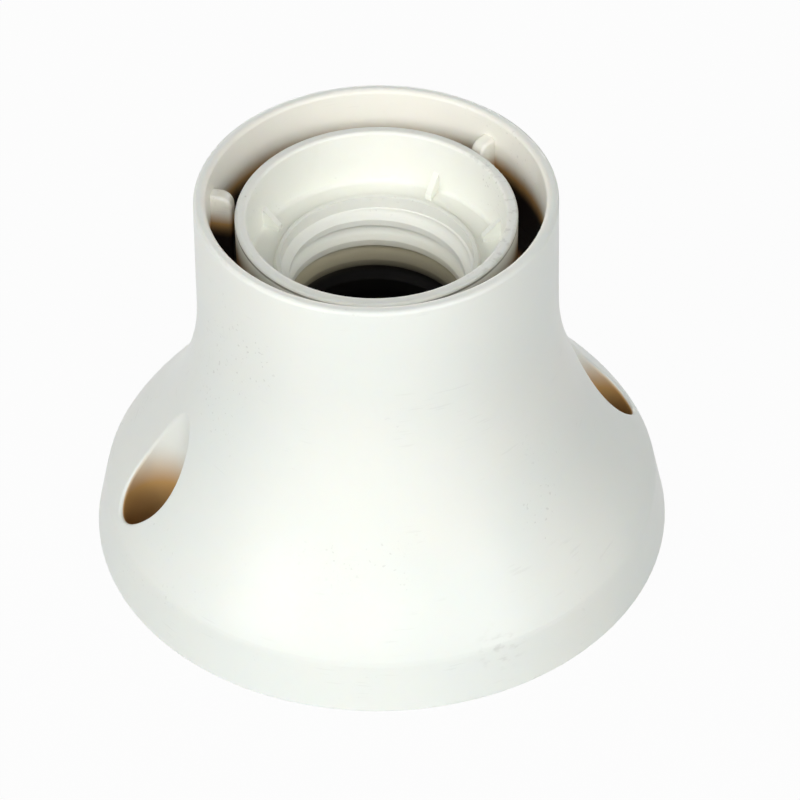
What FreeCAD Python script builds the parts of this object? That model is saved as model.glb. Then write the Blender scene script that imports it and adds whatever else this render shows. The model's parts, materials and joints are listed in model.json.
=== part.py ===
import FreeCAD
import Part

import math
import os

# Lamp holder that is screwed to a ceiling or a wall and takes a 27 mm Edison screw lamp.
# Millimetres. The base stands on z = 0 and the two screw wells lie on the X axis.

# Bell shell: a tall neck, a flare of two tangent arcs and a nearly upright band
TOTAL_H = 58.7
NECK_TOP_R = 25.0
NECK_FOOT_R = 25.25
NECK_FOOT_Z = 41.5
BULGE_ARC_R = 25.7
CREASE_R = 39.85
BAND_H = 7.6
LEAN_SHARE = 1.266
CREASE_LEAN = LEAN_SHARE * math.atan2(CREASE_R - NECK_FOOT_R, NECK_FOOT_Z - BAND_H)
BAND_SHARE = 0.415
BASE_R = CREASE_R + BAND_H * math.tan(BAND_SHARE * CREASE_LEAN)
SHELL_WALL = 1.9
RIM_WALL = 1.7
RIM_ROUND = 0.65
CREASE_ROUND = 2.5
FOOT_ROUND = 0.4

# Wells for the two fixing screws, open through the flare
WELL_INSET = 6.65
WELL_SPACING = 2 * (CREASE_R - WELL_INSET)
WELL_R = 5.05
WELL_WALL = 2.0
WELL_FLOOR = 3.0
WELL_EDGE_ROUND = 0.45
FIXING_HOLE_R = 2.5

# Fins inside the neck, with a rounded nose, that stop the sleeve from leaning
FIN_ANGLES = (30.0, 150.0, 270.0)
FIN_THICK = 2.1
FIN_FOOT_Z = 34.0
FIN_TOP_Z = 55.3
FIN_GAP = 0.9
FIN_NOSE_ROUND = 1.8
FIN_EDGE_ROUND = 0.5

# Threaded sleeve: cup, lip, thread, lamp chamber and flange
LIP_TOP_R = 14.1
LIP_FOOT_R = 14.35
CUP_SHARE = 0.57
CUP_R = LIP_FOOT_R + CUP_SHARE * (NECK_TOP_R - RIM_WALL - LIP_FOOT_R)
CUP_WALL = 1.6
CUP_TOP_Z = 55.5
CUP_FLOOR_Z = 46.7
CUP_FLOOR_THICK = 1.8
CUP_EDGE_ROUND = 0.45
CUP_CORNER_ROUND = 0.6
LIP_TOP_Z = 47.5
LIP_EDGE_ROUND = 0.25
MOUTH_R = 13.4
MOUTH_DEPTH = 1.9
MOUTH_STOCK = 0.3
TUBE_R = 15.6
CHAMBER_R = 13.9
CHAMBER_TOP_Z = 31.0
FLANGE_Z = 20.0
FLANGE_THICK = 2.5
FLANGE_R = 20.8
EAR_R = 4.0

# Edison thread: crests and roots are equal arcs, and the bore takes the tops off the crests
THREAD_PITCH = 3.629
THREAD_ARC_R = 1.025
THREAD_ROOT_R = 13.275
THREAD_BORE_R = 12.3
THREAD_START_Z = 33.9
PLAIN_RING_TOP_Z = 32.5
SEAM_ANGLE = 100.0

# Small ribs in the corner of the cup, an eighth of a turn apart with two places left free
RIB_ANGLES = (0.0, 45.0, 135.0, 180.0, 225.0, 315.0)
RIB_THICK = 0.9
RIB_LIP_GAP = 1.0
RIB_REACH = CUP_R - CUP_WALL - LIP_FOOT_R - RIB_LIP_GAP
RIB_H = 3.2
RIB_TIP_H = 0.9

# Gussets under the floor of the cup
GUSSET_COUNT = 6
GUSSET_THICK = 1.2
GUSSET_H = 5.0
GUSSET_EDGE_GAP = 0.85
GUSSET_REACH = CUP_R - TUBE_R - GUSSET_EDGE_GAP

# Screws that hold the sleeve up against two posts of the shell
POST_SPACING = 46.0
POST_R = 3.25
POST_TOP_Z = 36.0
TAPPING_SHANK_R = 1.35
TAPPING_HEAD_R = 2.7
TAPPING_HEAD_H = 2.2
HEAD_BEVEL = 0.8
TAPPING_DEPTH = 9.0
TAPPING_CLEARANCE_HOLE_R = 1.7
CROSS_SLOT_W = 0.7
CROSS_SLOT_DEPTH = 1.2
CROSS_SLOT_SPAN = 3.0
SHANK_GAP = 0.05
BLIND_ALLOWANCE = 1.5

# Screws that hold the contact block up against the sleeve
BLOCK_SCREW_ANGLES = (55.0, 235.0)
BLOCK_SCREW_R = 16.2
BOSS_R = 3.0
BOSS_TOP_Z = 32.0
HEAD_RECESS_R = 2.95
HEAD_RECESS_DEPTH = 2.8

# Contact block of dark moulding compound
BLOCK_R = 19.8
BLOCK_H = 11.0
BLOCK_EDGE = 0.5
TERMINAL_ROOF_Z = 14.0
TERMINAL_INNER_X = 6.5
TERMINAL_HALF_Y = 8.8
DIVIDER_HALF_Y = 1.0
DIVIDER_GAP = 0.3
TIP_POCKET_R = 2.0
TIP_POCKET_TOP_Z = 17.8
CORE_POCKET_HALF_X = 4.0
CORE_POCKET_HALF_Y = 9.5
CORE_POCKET_TOP_Z = 16.5
KEEPER_THICK = 1.0
KEEPER_H = 1.2
KEEPER_LENGTH = 4.5
KEEPER_GAP = 0.35
KEEPER_OUTER_X = 11.0

# Terminals
PLATE_THICK = 1.2
PLATE_INNER_X = 6.8
PLATE_OUTER_X = 17.6
PLATE_HALF_Y = 8.5
PLATE_CORNER_R = 0.8
TERMINAL_X = 14.2
TERMINAL_Y = 4.9
CLAMP_SIDE = 7.0
CLAMP_THICK = 0.8
CLAMP_CORNER_R = 0.6
CLAMP_HOLE_R = 1.75
TERMINAL_SHANK_R = 1.45
TERMINAL_HEAD_R = 2.75
TERMINAL_HEAD_H = 2.4
TERMINAL_TIP_Z = 17.0
SLOT_W = 0.8
SLOT_DEPTH = 1.2
EDGE_BREAK = 0.35

# Rivets through the block
RIVET_X = 8.6
RIVET_R = 1.5
RIVET_HEAD_R = 2.1
RIVET_HEAD_H = 0.9
RIVET_BEVEL = 0.5

# Contact leaves and the stud that the lamp presses
CENTRE_LEAF_THICK = 0.4
CENTRE_LEAF_HALF_W = 3.25
CENTRE_LEAF_RISE = 2.6
CENTRE_LEAF_END_X = 12.0
CENTRE_LEAF_BEND_X = 6.2
CENTRE_LEAF_RAMP_X = 2.6
CENTRE_LEAF_TIP_X = 3.2
SIDE_LEAF_THICK = 0.5
SIDE_LEAF_HALF_W = 3.0
SIDE_LEAF_WALL_GAP = 0.7
SIDE_LEAF_LEAN = 1.3
SIDE_LEAF_BEND_Z = 26.0
SIDE_LEAF_KINK_Z = 29.3
SIDE_LEAF_TOP_Z = 30.4
SIDE_LEAF_END_X = 5.6
LEAF_BEND_R = 0.8
STUD_R = 2.5
STUD_H = 1.5
STUD_TAIL_R = 1.0
STUD_TAIL_H = 0.3


def vec(x, y, z):
    return FreeCAD.Vector(x, y, z)


def polar(radius, degrees):
    angle = math.radians(degrees)
    return radius * math.cos(angle), radius * math.sin(angle)


def rod(radius, bottom, top, x=0.0, y=0.0):
    """Upright cylinder between two heights."""
    return Part.makeCylinder(radius, top - bottom, vec(x, y, bottom))


def slab(x_range, y_range, z_range):
    """Rectangular block between pairs of limits."""
    corner = vec(x_range[0], y_range[0], z_range[0])
    size = [high - low for low, high in (x_range, y_range, z_range)]
    return Part.makeBox(size[0], size[1], size[2], corner)


def turned_about_z(shape, degrees):
    turned = shape.copy()
    turned.rotate(vec(0, 0, 0), vec(0, 0, 1), degrees)
    return turned


def lines(points):
    """Straight edges in the XZ plane through points given as radius and height."""
    return Part.makePolygon([vec(r, 0, z) for r, z in points]).Edges


def arc(centre, radius, start, end):
    """Arc in the XZ plane, with angles measured from +X towards +Z."""
    angles = (start, (start + end) / 2, end)
    points = [
        vec(centre[0] + radius * math.cos(a), 0, centre[1] + radius * math.sin(a))
        for a in angles
    ]
    return Part.Arc(*points).toShape()


def revolved(edges):
    """Solid of revolution about Z from the edges of a closed outline."""
    face = Part.Face(Part.Wire(Part.__sortEdges__(edges)))
    return face.revolve(vec(0, 0, 0), vec(0, 0, 1), 360)


def ring_edges(shape, radius, height):
    """Full circles of a solid of revolution with the given radius and height."""
    found = []
    for edge in shape.Edges:
        box = edge.BoundBox
        if box.ZLength > 0.01 or abs(box.ZMin - height) > 0.01:
            continue
        if abs(box.XMax - radius) < 0.02:
            found.append(edge)
    return found


def bell(wall, rim_wall, margin):
    """Solid bell, moved inwards by wall and drawn past both ends by margin.

    The bulging arc reaches the crease at the stated lean. The hollow arc leaves the neck
    upright and its radius follows, so that both arcs share a tangent where they meet.
    """
    outward = (math.cos(CREASE_LEAN), math.sin(CREASE_LEAN))
    inset = (NECK_FOOT_R - CREASE_R, NECK_FOOT_Z - BAND_H)
    inset_along = inset[0] * outward[0] + inset[1] * outward[1]
    hollow_arc_r = (inset[0] ** 2 + inset[1] ** 2 + 2 * BULGE_ARC_R * inset_along) / (
        2 * (BULGE_ARC_R * (1 - outward[0]) - inset[0])
    )
    first = (NECK_FOOT_R + hollow_arc_r, NECK_FOOT_Z)
    second = (CREASE_R - BULGE_ARC_R * outward[0], BAND_H - BULGE_ARC_R * outward[1])
    join = math.atan2(second[1] - first[1], second[0] - first[0]) + 2 * math.pi
    hollow_r = hollow_arc_r + wall
    bulge_r = BULGE_ARC_R - wall
    hollow = arc(first, hollow_r, math.pi, join)
    bulge = arc(second, bulge_r, join - math.pi, CREASE_LEAN)
    neck_foot_r = NECK_FOOT_R - wall
    neck_top_r = NECK_TOP_R - rim_wall
    neck_taper = (neck_foot_r - neck_top_r) / (TOTAL_H - NECK_FOOT_Z)
    crease_r = second[0] + bulge_r * outward[0]
    crease_z = second[1] + bulge_r * outward[1]
    base_r = BASE_R - wall
    band_taper = (base_r - crease_r) / crease_z
    top_r = neck_top_r - neck_taper * margin
    low_r = base_r + band_taper * margin
    lower = lines([(crease_r, crease_z), (low_r, -margin), (0, -margin)])
    upper = lines([(0, TOTAL_H + margin), (top_r, TOTAL_H + margin), (neck_foot_r, NECK_FOOT_Z)])
    axis = lines([(0, -margin), (0, TOTAL_H + margin)])
    return revolved(lower + upper + axis + [hollow, bulge])


def neck_fin(degrees, tip_r):
    """Upright fin on the neck's inner wall with a rounded nose and softened edges."""
    half = FIN_THICK / 2
    fin = slab((tip_r, NECK_TOP_R), (-half, half), (FIN_FOOT_Z, FIN_TOP_Z))
    nose = [edge for edge in fin.Edges if runs_through(edge, (tip_r, FIN_TOP_Z))]
    fin = fin.makeFillet(FIN_NOSE_ROUND, nose)
    sides = []
    for edge in fin.Edges:
        box = edge.BoundBox
        at_wall = box.XMin > NECK_TOP_R - 0.01
        at_foot = box.ZMax < FIN_FOOT_Z + 0.01
        if box.YLength < 0.01 and not at_wall and not at_foot:
            sides.append(edge)
    fin = fin.makeFillet(FIN_EDGE_ROUND, sides)
    return turned_about_z(fin, degrees)


def outer_shell():
    """Bell moulding with screw wells, fins and the posts that carry the sleeve."""
    outside = bell(0, 0, 0)
    outside = outside.makeFillet(CREASE_ROUND, ring_edges(outside, CREASE_R, BAND_H))
    outside = outside.makeFillet(RIM_ROUND, ring_edges(outside, NECK_TOP_R, TOTAL_H))
    outside = outside.makeFillet(FOOT_ROUND, ring_edges(outside, BASE_R, 0))

    left_standing = [neck_fin(degrees, CUP_R + FIN_GAP) for degrees in FIN_ANGLES]
    for side in (-1, 1):
        x = side * WELL_SPACING / 2
        left_standing.append(rod(WELL_R + WELL_WALL, 0, NECK_FOOT_Z, x=x))
        y = side * POST_SPACING / 2
        left_standing.append(rod(POST_R, FLANGE_Z + FLANGE_THICK, POST_TOP_Z, y=y))
    hollow = bell(SHELL_WALL, RIM_WALL, 0.5).cut(left_standing)
    shell = outside.cut(hollow)
    shell = shell.makeFillet(RIM_ROUND, ring_edges(shell, NECK_TOP_R - RIM_WALL, TOTAL_H))

    wells = [rod(WELL_R, WELL_FLOOR, NECK_FOOT_Z, x=s * WELL_SPACING / 2) for s in (-1, 1)]
    shell = soften_well_mouths(shell.cut(wells))

    holes = []
    pilot_top = FLANGE_Z + FLANGE_THICK + TAPPING_DEPTH + BLIND_ALLOWANCE
    for side in (-1, 1):
        holes.append(rod(FIXING_HOLE_R, -1, WELL_FLOOR + 1, x=side * WELL_SPACING / 2))
        holes.append(
            rod(TAPPING_SHANK_R + SHANK_GAP, FLANGE_Z, pilot_top, y=side * POST_SPACING / 2)
        )
    return shell.cut(holes)


def soften_well_mouths(shell):
    """Rounds the long curved edge where each well breaks through the flare."""
    edges = []
    for edge in shell.Edges:
        points = edge.discretize(5)
        on_well = all(
            abs(math.hypot(abs(p.x) - WELL_SPACING / 2, p.y) - WELL_R) < 0.01 for p in points
        )
        box = edge.BoundBox
        if on_well and box.ZMin > WELL_FLOOR + 1 and box.XLength > 0.1:
            edges.append(edge)
    return shell.makeFillet(WELL_EDGE_ROUND, edges)


def thread_groove():
    """Helical groove with a rounded root, from above the plain ring out into the wider mouth.

    The crest arcs run on a little inside the bore, so that the bore cuts them cleanly.
    """
    half_pitch = THREAD_PITCH / 2
    lean = math.acos(half_pitch / (2 * THREAD_ARC_R))
    root_centre = THREAD_ROOT_R - THREAD_ARC_R
    crest_centre = root_centre + 2 * THREAD_ARC_R * math.sin(lean)
    crest_r = crest_centre - THREAD_ARC_R
    arc_end_r = (crest_r + THREAD_BORE_R) / 2
    inner_r = crest_r - 0.4
    end_angle = math.acos((crest_centre - arc_end_r) / THREAD_ARC_R)
    end_z = half_pitch - THREAD_ARC_R * math.sin(end_angle)
    upper_crest = arc(
        (crest_centre, half_pitch), THREAD_ARC_R, math.pi + end_angle, 1.5 * math.pi - lean
    )
    root = arc((root_centre, 0), THREAD_ARC_R, math.pi / 2 - lean, lean - math.pi / 2)
    lower_crest = arc(
        (crest_centre, -half_pitch), THREAD_ARC_R, math.pi / 2 + lean, math.pi - end_angle
    )
    closing = lines([(arc_end_r, end_z), (inner_r, end_z), (inner_r, -end_z), (arc_end_r, -end_z)])
    profile = Part.Wire(Part.__sortEdges__([upper_crest, root, lower_crest] + closing))
    height = LIP_TOP_Z + half_pitch - THREAD_START_Z
    helix = Part.makeHelix(THREAD_PITCH, height, THREAD_BORE_R)
    groove = Part.Wire(helix.Edges).makePipeShell([profile], True, True)
    groove.translate(vec(0, 0, THREAD_START_Z))
    return groove


def sleeve_body():
    """Turned form of the sleeve with a plain bore, its seam kept off the thread's start."""
    cup_inner_r = CUP_R - CUP_WALL
    flange_top = FLANGE_Z + FLANGE_THICK
    floor_under = CUP_FLOOR_Z - CUP_FLOOR_THICK
    rough_mouth_r = MOUTH_R - MOUTH_STOCK
    rough_foot_z = LIP_TOP_Z - (rough_mouth_r - THREAD_BORE_R)
    body = revolved(
        lines(
            [
                (CHAMBER_R, FLANGE_Z),
                (FLANGE_R, FLANGE_Z),
                (FLANGE_R, flange_top),
                (TUBE_R, flange_top),
                (TUBE_R, floor_under),
                (CUP_R, floor_under),
                (CUP_R, CUP_TOP_Z),
                (cup_inner_r, CUP_TOP_Z),
                (cup_inner_r, CUP_FLOOR_Z),
                (LIP_FOOT_R, CUP_FLOOR_Z),
                (LIP_TOP_R, LIP_TOP_Z),
                (rough_mouth_r, LIP_TOP_Z),
                (THREAD_BORE_R, rough_foot_z),
                (THREAD_BORE_R, PLAIN_RING_TOP_Z),
                (THREAD_BORE_R, CHAMBER_TOP_Z),
                (CHAMBER_R, CHAMBER_TOP_Z),
                (CHAMBER_R, FLANGE_Z),
            ]
        )
    )
    top_edges = ring_edges(body, CUP_R, CUP_TOP_Z) + ring_edges(body, cup_inner_r, CUP_TOP_Z)
    body = body.makeFillet(CUP_EDGE_ROUND, top_edges)
    corner_edges = ring_edges(body, cup_inner_r, CUP_FLOOR_Z)
    corner_edges += ring_edges(body, CUP_R, floor_under)
    corner_edges += ring_edges(body, TUBE_R, floor_under)
    body = body.makeFillet(CUP_CORNER_ROUND, corner_edges)
    body = body.makeFillet(LIP_EDGE_ROUND, ring_edges(body, LIP_TOP_R, LIP_TOP_Z))
    return turned_about_z(body, SEAM_ANGLE)


def mouth():
    """Room above the thread: a wide mouth whose foot leans in to the bore at 45 degrees."""
    foot_z = LIP_TOP_Z - MOUTH_DEPTH
    inner_r = THREAD_BORE_R - 0.2
    lean_foot_z = foot_z - (MOUTH_R - inner_r)
    top_z = LIP_TOP_Z + 1
    outline = [
        (0, lean_foot_z),
        (inner_r, lean_foot_z),
        (MOUTH_R, foot_z),
        (MOUTH_R, top_z),
        (0, top_z),
        (0, lean_foot_z),
    ]
    return turned_about_z(revolved(lines(outline)), SEAM_ANGLE + 90)


def cup_rib(degrees):
    """Small upright rib in the corner between the cup's floor and wall."""
    wall_r = CUP_R - CUP_WALL
    root_r = CUP_R - CUP_WALL / 2
    root_z = CUP_FLOOR_Z - CUP_FLOOR_THICK / 2
    tip_r = wall_r - RIB_REACH
    half = RIB_THICK / 2
    side_view = Part.makePolygon(
        [
            vec(root_r, -half, root_z),
            vec(root_r, -half, CUP_FLOOR_Z + RIB_H),
            vec(wall_r, -half, CUP_FLOOR_Z + RIB_H),
            vec(tip_r, -half, CUP_FLOOR_Z + RIB_TIP_H),
            vec(tip_r, -half, root_z),
            vec(root_r, -half, root_z),
        ]
    )
    rib = Part.Face(side_view).extrude(vec(0, RIB_THICK, 0))
    return turned_about_z(rib, degrees)


def gusset(degrees):
    """Three-cornered web between the tube and the underside of the cup's floor."""
    under = CUP_FLOOR_Z - CUP_FLOOR_THICK
    half = GUSSET_THICK / 2
    side_view = Part.makePolygon(
        [
            vec(TUBE_R - 0.5, -half, under - GUSSET_H),
            vec(TUBE_R, -half, under - GUSSET_H),
            vec(TUBE_R + GUSSET_REACH, -half, under - 0.5),
            vec(TUBE_R + GUSSET_REACH, -half, under + 0.5),
            vec(TUBE_R - 0.5, -half, under + 0.5),
            vec(TUBE_R - 0.5, -half, under - GUSSET_H),
        ]
    )
    web = Part.Face(side_view).extrude(vec(0, GUSSET_THICK, 0))
    return turned_about_z(web, degrees)


def thread_sleeve():
    """Sleeve moulding: cup with ribs, Edison thread, chamber, flange, ears and bosses."""
    flange_top = FLANGE_Z + FLANGE_THICK
    ear_y = POST_SPACING / 2
    added = [cup_rib(degrees) for degrees in RIB_ANGLES]
    added += [gusset(i * 360 / GUSSET_COUNT) for i in range(GUSSET_COUNT)]
    for side in (-1, 1):
        ear = rod(EAR_R, FLANGE_Z, flange_top, y=side * ear_y)
        web_y = sorted((side * TUBE_R, side * ear_y))
        added.append(ear.fuse(slab((-EAR_R, EAR_R), web_y, (FLANGE_Z, flange_top))))
    for degrees in BLOCK_SCREW_ANGLES:
        x, y = polar(BLOCK_SCREW_R, degrees)
        added.append(rod(BOSS_R, FLANGE_Z, BOSS_TOP_Z, x, y))
    sleeve = sleeve_body().fuse(added)

    cuts = [rod(CHAMBER_R, FLANGE_Z - 1, CHAMBER_TOP_Z)]
    for side in (-1, 1):
        cuts.append(rod(TAPPING_CLEARANCE_HOLE_R, FLANGE_Z - 1, flange_top + 1, y=side * ear_y))
    for degrees in BLOCK_SCREW_ANGLES:
        x, y = polar(BLOCK_SCREW_R, degrees)
        cuts.append(rod(TAPPING_SHANK_R + SHANK_GAP, FLANGE_Z - 1, BOSS_TOP_Z - 1, x, y))
    sleeve = sleeve.cut(cuts)
    return sleeve.cut(thread_groove()).cut(mouth())


def keeper(side, leaf_half_w, outer_x):
    """Low rib on the block's top that stops a contact leaf from turning."""
    inner_y = leaf_half_w + KEEPER_GAP
    y_range = sorted((side * inner_y, side * (inner_y + KEEPER_THICK)))
    x_range = sorted((outer_x, outer_x - math.copysign(KEEPER_LENGTH, outer_x)))
    return slab(x_range, y_range, (FLANGE_Z, FLANGE_Z + KEEPER_H))


def contact_block():
    """Dark round block that carries the contacts and, underneath, the wire terminals."""
    bottom = FLANGE_Z - BLOCK_H
    block = rod(BLOCK_R, bottom, FLANGE_Z)
    block = block.makeChamfer(BLOCK_EDGE, ring_edges(block, BLOCK_R, bottom))
    keepers = [keeper(s, CENTRE_LEAF_HALF_W, -KEEPER_OUTER_X) for s in (-1, 1)]
    keepers += [keeper(s, SIDE_LEAF_HALF_W, KEEPER_OUTER_X) for s in (-1, 1)]
    block = block.fuse(keepers)

    cuts = []
    for side in (-1, 1):
        recess_x = sorted((side * TERMINAL_INNER_X, side * (BLOCK_R + 1)))
        recess = slab(
            recess_x, (-TERMINAL_HALF_Y, TERMINAL_HALF_Y), (bottom - 1, TERMINAL_ROOF_Z)
        )
        divider_x = sorted((side * (PLATE_OUTER_X + DIVIDER_GAP), side * (BLOCK_R + 1)))
        divider_y = (-DIVIDER_HALF_Y, DIVIDER_HALF_Y)
        cuts.append(recess.cut(slab(divider_x, divider_y, (bottom - 1, TERMINAL_ROOF_Z))))
        cuts.append(rod(RIVET_R + SHANK_GAP, TERMINAL_ROOF_Z - 1, FLANGE_Z + 1, x=side * RIVET_X))
        for y in (-TERMINAL_Y, TERMINAL_Y):
            cuts.append(
                rod(TIP_POCKET_R, TERMINAL_ROOF_Z - 1, TIP_POCKET_TOP_Z, side * TERMINAL_X, y)
            )
    for degrees in BLOCK_SCREW_ANGLES:
        x, y = polar(BLOCK_SCREW_R, degrees)
        cuts.append(rod(TAPPING_CLEARANCE_HOLE_R, bottom - 1, FLANGE_Z + 1, x, y))
        cuts.append(rod(HEAD_RECESS_R, bottom - 1, bottom + HEAD_RECESS_DEPTH, x, y))
    half_x = CORE_POCKET_HALF_X
    half_y = CORE_POCKET_HALF_Y
    cuts.append(slab((-half_x, half_x), (-half_y, half_y), (bottom - 1, CORE_POCKET_TOP_Z)))
    return block.cut(cuts)


def rounded_plate(x_range, y_range, z_range, corner_r):
    """Flat plate with rounded corners."""
    plate = slab(x_range, y_range, z_range)
    upright = [e for e in plate.Edges if e.BoundBox.ZLength > 0.1]
    return plate.makeFillet(corner_r, upright)


def terminal_plate(side):
    """Brass plate under the roof of a terminal recess, tapped for two screws."""
    bottom = TERMINAL_ROOF_Z - PLATE_THICK
    x_range = sorted((side * PLATE_INNER_X, side * PLATE_OUTER_X))
    y_range = (-PLATE_HALF_Y, PLATE_HALF_Y)
    plate = rounded_plate(x_range, y_range, (bottom, TERMINAL_ROOF_Z), PLATE_CORNER_R)
    holes = [rod(RIVET_R + SHANK_GAP, 0, FLANGE_Z, x=side * RIVET_X)]
    for y in (-TERMINAL_Y, TERMINAL_Y):
        holes.append(rod(TERMINAL_SHANK_R + SHANK_GAP, 0, FLANGE_Z, side * TERMINAL_X, y))
    return plate.cut(holes)


def clamp_plate(x, y):
    """Loose square plate that a terminal screw draws up onto the wire."""
    top = TERMINAL_ROOF_Z - PLATE_THICK
    half = CLAMP_SIDE / 2
    z_range = (top - CLAMP_THICK, top)
    plate = rounded_plate((x - half, x + half), (y - half, y + half), z_range, CLAMP_CORNER_R)
    return plate.cut(rod(CLAMP_HOLE_R, 0, FLANGE_Z, x, y))


def terminal_screw(x, y):
    """Cheese-head screw, driven from below, with a straight slot."""
    seat = TERMINAL_ROOF_Z - PLATE_THICK - CLAMP_THICK
    bottom = seat - TERMINAL_HEAD_H
    head = rod(TERMINAL_HEAD_R, bottom, seat)
    head = head.makeChamfer(EDGE_BREAK, ring_edges(head, TERMINAL_HEAD_R, bottom))
    shank = rod(TERMINAL_SHANK_R, seat, TERMINAL_TIP_Z)
    shank = shank.makeChamfer(EDGE_BREAK, ring_edges(shank, TERMINAL_SHANK_R, TERMINAL_TIP_Z))
    reach = TERMINAL_HEAD_R + 1
    slot = slab((-reach, reach), (-SLOT_W / 2, SLOT_W / 2), (bottom - 1, bottom + SLOT_DEPTH))
    screw = head.fuse(shank).cut(slot)
    screw.translate(vec(x, y, 0))
    return screw


def tapping_screw(seat, tip, x, y):
    """Pan-head screw for plastic, driven from below, with a cross slot."""
    bottom = seat - TAPPING_HEAD_H
    head = rod(TAPPING_HEAD_R, bottom, seat)
    head = head.makeChamfer(HEAD_BEVEL, ring_edges(head, TAPPING_HEAD_R, bottom))
    shank = rod(TAPPING_SHANK_R, seat, tip - 2 * TAPPING_SHANK_R)
    point = Part.makeCone(
        TAPPING_SHANK_R, 0.2, 2 * TAPPING_SHANK_R, vec(0, 0, tip - 2 * TAPPING_SHANK_R)
    )
    half = CROSS_SLOT_W / 2
    reach = CROSS_SLOT_SPAN / 2
    z_range = (bottom - 1, bottom + CROSS_SLOT_DEPTH)
    cross = slab((-reach, reach), (-half, half), z_range)
    cross = cross.fuse(slab((-half, half), (-reach, reach), z_range))
    screw = head.fuse([shank, point]).cut(cross)
    screw.translate(vec(x, y, 0))
    return screw


def shell_screws():
    """The two screws through the sleeve's ears into the shell's posts."""
    tip = FLANGE_Z + FLANGE_THICK + TAPPING_DEPTH
    screws = [tapping_screw(FLANGE_Z, tip, 0, s * POST_SPACING / 2) for s in (-1, 1)]
    return Part.makeCompound(screws)


def block_screws():
    """The two screws through the block into the sleeve's bosses."""
    seat = FLANGE_Z - BLOCK_H + HEAD_RECESS_DEPTH
    tip = BOSS_TOP_Z - 1 - BLIND_ALLOWANCE
    places = [polar(BLOCK_SCREW_R, degrees) for degrees in BLOCK_SCREW_ANGLES]
    return Part.makeCompound([tapping_screw(seat, tip, x, y) for x, y in places])


def rivet(side, leaf_thick):
    """Rivet through leaf, block and terminal plate, bevelled on top and flat below."""
    x = side * RIVET_X
    plate_under = TERMINAL_ROOF_Z - PLATE_THICK
    leaf_top = FLANGE_Z + leaf_thick
    shank = rod(RIVET_R, plate_under, leaf_top, x=x)
    foot = rod(RIVET_HEAD_R, plate_under - RIVET_HEAD_H, plate_under, x=x)
    cap = rod(RIVET_HEAD_R, leaf_top, leaf_top + RIVET_HEAD_H, x=x)
    top_edges = [e for e in cap.Edges if e.BoundBox.ZMin > leaf_top + RIVET_HEAD_H - 0.01]
    cap = cap.makeChamfer(RIVET_BEVEL, top_edges)
    return shank.fuse([foot, cap])


def bent_strip(points, thick, half_width):
    """Strip of sheet metal along a path in the XZ plane, with rounded bends."""
    normals = []
    for (x0, z0), (x1, z1) in zip(points, points[1:]):
        length = math.hypot(x1 - x0, z1 - z0)
        normals.append((-(z1 - z0) / length, (x1 - x0) / length))
    raised = [(points[0][0] + thick * normals[0][0], points[0][1] + thick * normals[0][1])]
    for (x, z), before, after in zip(points[1:-1], normals, normals[1:]):
        share = thick / (1 + before[0] * after[0] + before[1] * after[1])
        raised.append((x + share * (before[0] + after[0]), z + share * (before[1] + after[1])))
    last = points[-1]
    raised.append((last[0] + thick * normals[-1][0], last[1] + thick * normals[-1][1]))
    outline = points + raised[::-1] + [points[0]]
    section = Part.Face(Part.makePolygon([vec(x, -half_width, z) for x, z in outline]))
    strip = section.extrude(vec(0, 2 * half_width, 0))
    for bends, radius in ((points[1:-1], LEAF_BEND_R), (raised[1:-1], LEAF_BEND_R)):
        edges = [e for e in strip.Edges for bend in bends if runs_through(e, bend)]
        strip = strip.makeFillet(radius, edges)
    return strip


def runs_through(edge, point):
    """Whether an edge lies along Y through a point of the XZ plane."""
    box = edge.BoundBox
    beside = abs(box.Center.x - point[0]) < 0.01 and abs(box.Center.z - point[1]) < 0.01
    return beside and box.YLength > 1


def centre_contact_leaf():
    """Springy strip riveted at one end, with the stud's hole at the free end."""
    high = FLANGE_Z + CENTRE_LEAF_RISE
    path = [
        (-CENTRE_LEAF_END_X, FLANGE_Z),
        (-CENTRE_LEAF_BEND_X, FLANGE_Z),
        (-CENTRE_LEAF_RAMP_X, high),
        (CENTRE_LEAF_TIP_X, high),
    ]
    leaf = bent_strip(path, CENTRE_LEAF_THICK, CENTRE_LEAF_HALF_W)
    rivet_hole = rod(RIVET_R + SHANK_GAP, FLANGE_Z - 1, FLANGE_Z + 1, x=-RIVET_X)
    stud_hole = rod(STUD_TAIL_R + SHANK_GAP, high - 1, high + 1)
    return leaf.cut([rivet_hole, stud_hole])


def centre_contact_stud():
    """Button that the lamp's centre contact presses, with its tail through the leaf."""
    seat = FLANGE_Z + CENTRE_LEAF_RISE + CENTRE_LEAF_THICK
    button = rod(STUD_R, seat, seat + STUD_H)
    top_edges = [e for e in button.Edges if e.BoundBox.ZMin > seat + STUD_H - 0.01]
    button = button.makeFillet(STUD_H * 0.8, top_edges)
    tail = rod(STUD_TAIL_R, seat - CENTRE_LEAF_THICK - STUD_TAIL_H, seat)
    return button.fuse(tail)


def side_contact_leaf():
    """Strip riveted to the block that stands at the chamber's wall and leans in at the top."""
    upright_x = CHAMBER_R - SIDE_LEAF_WALL_GAP
    path = [
        (SIDE_LEAF_END_X, FLANGE_Z),
        (upright_x, FLANGE_Z),
        (upright_x, SIDE_LEAF_BEND_Z),
        (upright_x - SIDE_LEAF_LEAN, SIDE_LEAF_KINK_Z),
        (upright_x, SIDE_LEAF_TOP_Z),
    ]
    leaf = bent_strip(path, SIDE_LEAF_THICK, SIDE_LEAF_HALF_W)
    return leaf.cut(rod(RIVET_R + SHANK_GAP, FLANGE_Z - 1, FLANGE_Z + 1, x=RIVET_X))


def save(name, shape):
    shape.exportStep("parts/" + name + ".step")


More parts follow.
